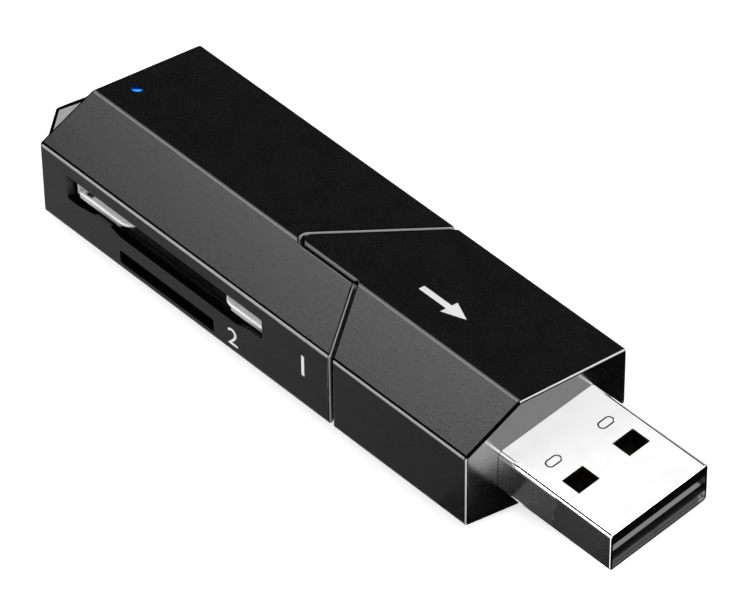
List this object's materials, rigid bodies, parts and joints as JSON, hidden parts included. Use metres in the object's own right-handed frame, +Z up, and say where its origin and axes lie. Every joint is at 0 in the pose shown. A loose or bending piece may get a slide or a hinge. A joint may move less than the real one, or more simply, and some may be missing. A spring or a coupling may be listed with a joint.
{
  "type": "usb memory card reader",
  "caption": "Faceted stick memory card reader: plug at the nose, two card slots in one wall, zigzag housing seam, status lamp and faceted tail.",
  "frame": {"origin": "under the middle of the reader's box, on the surface that it lies on", "axes": "+X from the tail to the plug's tip, +Z up from the surface; the card slots face -Y"},
  "size_m": [0.0736, 0.021, 0.0127],
  "materials": {
    "housing": "satin black moulded plastic with a fine grain",
    "plated_steel": "bright nickel plate",
    "insulator": "black moulded plastic",
    "contact": "gold plate",
    "tin_plate": "satin tin plate",
    "board": "black solder mask",
    "ceramic": "fired ceramic with plated ends",
    "lamp": "blue lamp resin",
    "light_pipe": "clear pipe, lit blue from below"
  },
  "bodies": {
    "root": {"rear_housing": "housing", "front_housing": "housing", "light_pipe": "light_pipe", "status_lamp": "lamp", "circuit_board": "board", "plug_shell": "plated_steel", "plug_insert": "insulator", "plug_pins": "contact", "large_socket_base": "insulator", "large_socket_shield": "tin_plate", "large_socket_contacts": "contact", "large_socket_switches": "contact", "small_socket_base": "insulator", "small_socket_shield": "tin_plate", "small_socket_contacts": "contact", "controller_chip": "insulator", "controller_leads": "tin_plate", "crystal": "plated_steel", "capacitors": "ceramic", "resistors": "insulator"}
  },
  "joints": []
}
